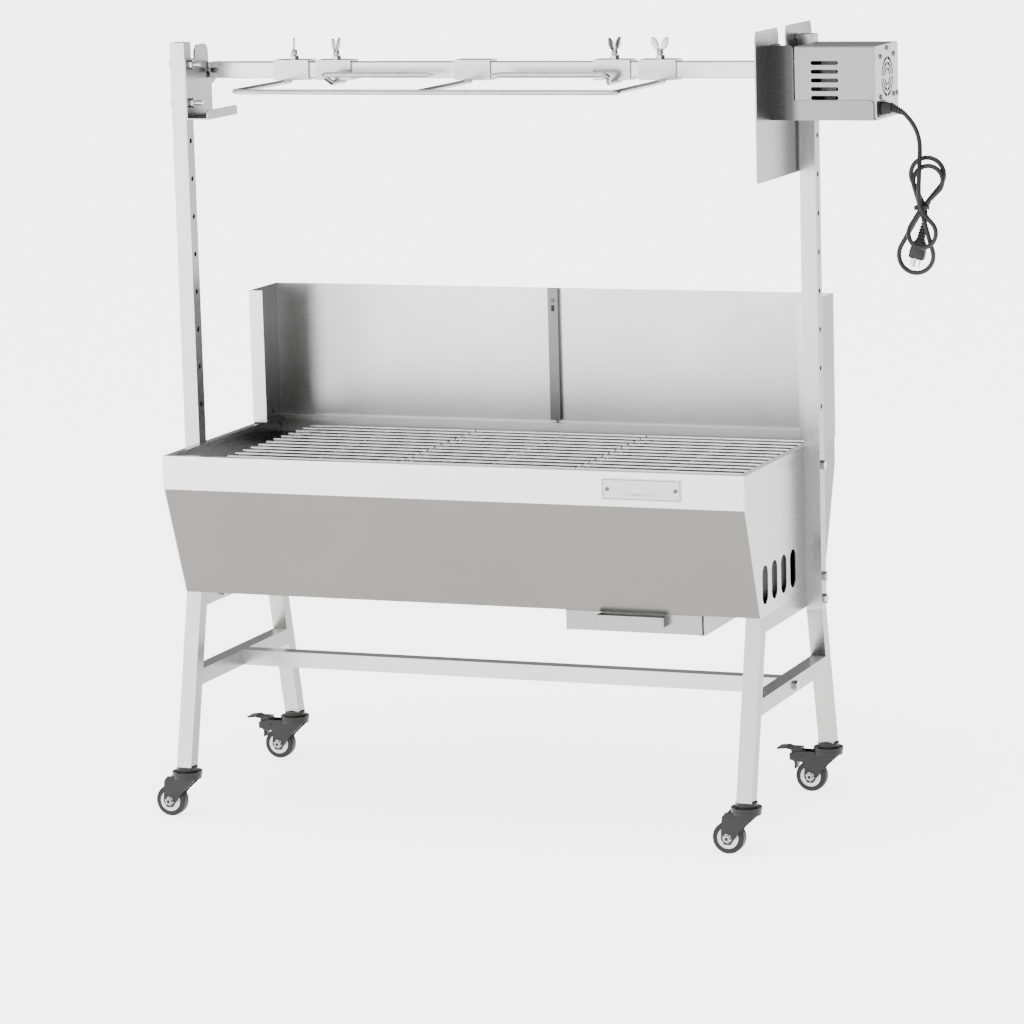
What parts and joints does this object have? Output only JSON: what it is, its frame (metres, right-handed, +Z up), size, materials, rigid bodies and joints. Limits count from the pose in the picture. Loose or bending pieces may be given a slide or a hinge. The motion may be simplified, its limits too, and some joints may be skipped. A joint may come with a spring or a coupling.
{
  "type": "rotisserie spit roaster",
  "caption": "Stainless charcoal spit roaster on swivel castors: firebox with windshield and grates, height-set posts, geared motor and a square spit with brace and forks.",
  "frame": {"origin": "on the floor, under the middle of the overall box without the power cord", "axes": "+X along the spit from the crank end to the motor, +Y from the front to the windshield, +Z up"},
  "size_m": [1.2885, 0.4662, 1.235],
  "materials": {
    "sheet": "fine brushed stainless sheet",
    "tube": "brushed square tube",
    "tray_sheet": "plain sheet, dull",
    "badge": "blank satin plate with a dark border",
    "grate_wire": "polished plated wire",
    "plated_rod": "polished rod, brushed sleeves",
    "plated_steel": "zinc plated",
    "spit_steel": "brushed bar",
    "black_steel": "black electrophoretic coat",
    "tyre_rubber": "black tread on a grey hub",
    "motor_grey": "cast gear case",
    "black_plastic": "moulded black plastic",
    "cord_rubber": "satin black cord"
  },
  "bodies": {
    "frame": {"firebox_front": "sheet", "firebox_rear": "sheet", "firebox_left_end": "sheet", "firebox_right_end": "sheet", "firebox_floor": "sheet", "charcoal_tray": "tray_sheet", "badge_plate": "badge", "windshield_left": "sheet", "windshield_right": "sheet", "windshield_clip": "sheet", "drawer_rails": "sheet", "front_left_leg": "tube", "front_right_leg": "tube", "rear_left_leg": "tube", "rear_right_leg": "tube", "top_rails": "tube", "low_rails": "tube", "stretcher": "tube", "left_post": "tube", "right_post": "tube", "frame_bolts": "plated_steel", "bracket_bolts": "plated_steel", "small_screws": "plated_steel", "left_bracket": "sheet", "heat_shield": "sheet", "motor_bracket": "sheet", "motor_housing": "sheet", "motor_end_cover": "sheet", "gear_motor": "motor_grey", "power_inlet": "black_plastic", "caster_stems": "black_steel", "cord_connector": "black_plastic", "cord_lead": "cord_rubber", "cord_hank": "cord_rubber", "mains_plug": "black_plastic"},
    "left_grate": {"grate_left": "grate_wire"},
    "middle_grate": {"grate_middle": "grate_wire"},
    "right_grate": {"grate_right": "grate_wire"},
    "drawer": {"ash_drawer": "sheet"},
    "spit": {"spit_bar": "spit_steel", "spit_journal": "spit_steel", "brace": "plated_rod", "drive_socket": "plated_steel"},
    "left_fork_slider": {"left_fork": "plated_rod"},
    "right_fork_slider": {"right_fork": "plated_rod"},
    "left_brace_thumbscrew": {"left_brace_screw": "plated_steel"},
    "right_brace_thumbscrew": {"right_brace_screw": "plated_steel"},
    "left_fork_thumbscrew": {"left_fork_screw": "plated_steel"},
    "right_fork_thumbscrew": {"right_fork_screw": "plated_steel"},
    "fan": {"cooling_fan": "black_plastic"},
    "front_left_swivel": {"caster_front_left_fork": "black_steel"},
    "front_left_wheel": {"caster_front_left_wheel": "tyre_rubber"},
    "front_right_swivel": {"caster_front_right_fork": "black_steel"},
    "front_right_wheel": {"caster_front_right_wheel": "tyre_rubber"},
    "rear_left_swivel": {"caster_rear_left_fork": "black_steel"},
    "rear_left_wheel": {"caster_rear_left_wheel": "tyre_rubber"},
    "rear_left_pedal": {"caster_rear_left_brake": "black_steel"},
    "rear_right_swivel": {"caster_rear_right_fork": "black_steel"},
    "rear_right_wheel": {"caster_rear_right_wheel": "tyre_rubber"},
    "rear_right_pedal": {"caster_rear_right_brake": "black_steel"}
  },
  "joints": [
    {"name": "left_grate_lift", "type": "slide", "parent": "frame", "child": "left_grate", "axis": [0, 0, 1], "range_m": [0, 0.2]},
    {"name": "middle_grate_lift", "type": "slide", "parent": "frame", "child": "middle_grate", "axis": [0, 0, 1], "range_m": [0, 0.2]},
    {"name": "right_grate_lift", "type": "slide", "parent": "frame", "child": "right_grate", "axis": [0, 0, 1], "range_m": [0, 0.014]},
    {"name": "drawer_pull", "type": "slide", "parent": "frame", "child": "drawer", "axis": [0, -1, 0], "range_m": [0, 0.25]},
    {"name": "spit_turn", "type": "hinge", "parent": "frame", "child": "spit", "pos_m": [-0.04625, 0, 1.1705], "axis": [1, 0, 0], "continuous": true},
    {"name": "left_fork_slide", "type": "slide", "parent": "spit", "child": "left_fork_slider", "axis": [1, 0, 0], "range_m": [-0.01, 0.038]},
    {"name": "right_fork_slide", "type": "slide", "parent": "spit", "child": "right_fork_slider", "axis": [1, 0, 0], "range_m": [-0.038, 0.01]},
    {"name": "left_brace_thumbscrew_turn", "type": "hinge", "parent": "spit", "child": "left_brace_thumbscrew", "pos_m": [-0.37725, 0, 1.2], "axis": [0, 0, 1], "range_deg": [0, 360]},
    {"name": "right_brace_thumbscrew_turn", "type": "hinge", "parent": "spit", "child": "right_brace_thumbscrew", "pos_m": [0.23475, 0, 1.2], "axis": [0, 0, 1], "range_deg": [0, 360]},
    {"name": "left_fork_thumbscrew_turn", "type": "hinge", "parent": "left_fork_slider", "child": "left_fork_thumbscrew", "pos_m": [-0.30475, 0, 1.2], "axis": [0, 0, 1], "range_deg": [0, 360]},
    {"name": "right_fork_thumbscrew_turn", "type": "hinge", "parent": "right_fork_slider", "child": "right_fork_thumbscrew", "pos_m": [0.16075, 0, 1.2], "axis": [0, 0, 1], "range_deg": [0, 360]},
    {"name": "fan_spin", "type": "hinge", "parent": "frame", "child": "fan", "pos_m": [0.58175, 0, 1.16], "axis": [1, 0, 0], "continuous": true},
    {"name": "front_left_swivel_turn", "type": "hinge", "parent": "frame", "child": "front_left_swivel", "pos_m": [-0.51375, -0.2092, 0.065], "axis": [0, 0, 1], "continuous": true},
    {"name": "front_left_wheel_roll", "type": "hinge", "parent": "front_left_swivel", "child": "front_left_wheel", "pos_m": [-0.54175, -0.2092, 0.025], "axis": [0, 1, 0], "continuous": true},
    {"name": "front_right_swivel_turn", "type": "hinge", "parent": "frame", "child": "front_right_swivel", "pos_m": [0.42125, -0.2092, 0.065], "axis": [0, 0, 1], "continuous": true},
    {"name": "front_right_wheel_roll", "type": "hinge", "parent": "front_right_swivel", "child": "front_right_wheel", "pos_m": [0.39325, -0.2092, 0.025], "axis": [0, 1, 0], "continuous": true},
    {"name": "rear_left_swivel_turn", "type": "hinge", "parent": "frame", "child": "rear_left_swivel", "pos_m": [-0.51375, 0.2092, 0.065], "axis": [0, 0, 1], "continuous": true},
    {"name": "rear_left_wheel_roll", "type": "hinge", "parent": "rear_left_swivel", "child": "rear_left_wheel", "pos_m": [-0.54175, 0.2092, 0.025], "axis": [0, 1, 0], "continuous": true},
    {"name": "rear_left_pedal_press", "type": "hinge", "parent": "rear_left_swivel", "child": "rear_left_pedal", "pos_m": [-0.55575, 0.2092, 0.057], "axis": [0, 1, 0], "range_deg": [-4.5, 0]},
    {"name": "rear_right_swivel_turn", "type": "hinge", "parent": "frame", "child": "rear_right_swivel", "pos_m": [0.42125, 0.2092, 0.065], "axis": [0, 0, 1], "continuous": true},
    {"name": "rear_right_wheel_roll", "type": "hinge", "parent": "rear_right_swivel", "child": "rear_right_wheel", "pos_m": [0.39325, 0.2092, 0.025], "axis": [0, 1, 0], "continuous": true},
    {"name": "rear_right_pedal_press", "type": "hinge", "parent": "rear_right_swivel", "child": "rear_right_pedal", "pos_m": [0.37925, 0.2092, 0.057], "axis": [0, 1, 0], "range_deg": [-4.5, 0]}
  ]
}
